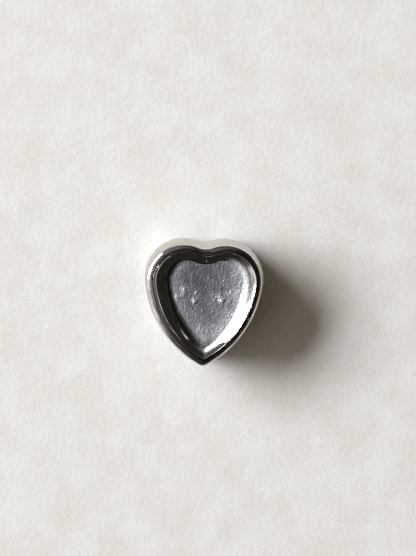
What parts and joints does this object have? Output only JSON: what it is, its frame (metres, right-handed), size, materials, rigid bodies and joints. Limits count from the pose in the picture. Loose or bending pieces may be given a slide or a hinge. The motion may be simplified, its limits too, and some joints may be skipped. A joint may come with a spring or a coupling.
{
  "type": "heart charm bead",
  "caption": "Puffed silver heart charm bead with an open heart-shaped cup in its face and a large round bore from flank to flank.",
  "frame": {"origin": "centre of the bead's box on its flat back face, the plane it lies on", "axes": "+Z out of the open cup's mouth, +Y towards the cleft between the lobes, +X across the lobes along the bore"},
  "size_m": [0.0114, 0.0122, 0.008],
  "materials": {
    "polished_silver": "mirror-polished sterling silver with fine wear",
    "satin_silver": "as-cast satin silver with a fine grain and a few small lumps"
  },
  "bodies": {
    "root": {"heart_body": "polished_silver", "bezel_cup": "satin_silver", "back_plate": "polished_silver", "core_tube": "polished_silver"}
  },
  "joints": []
}
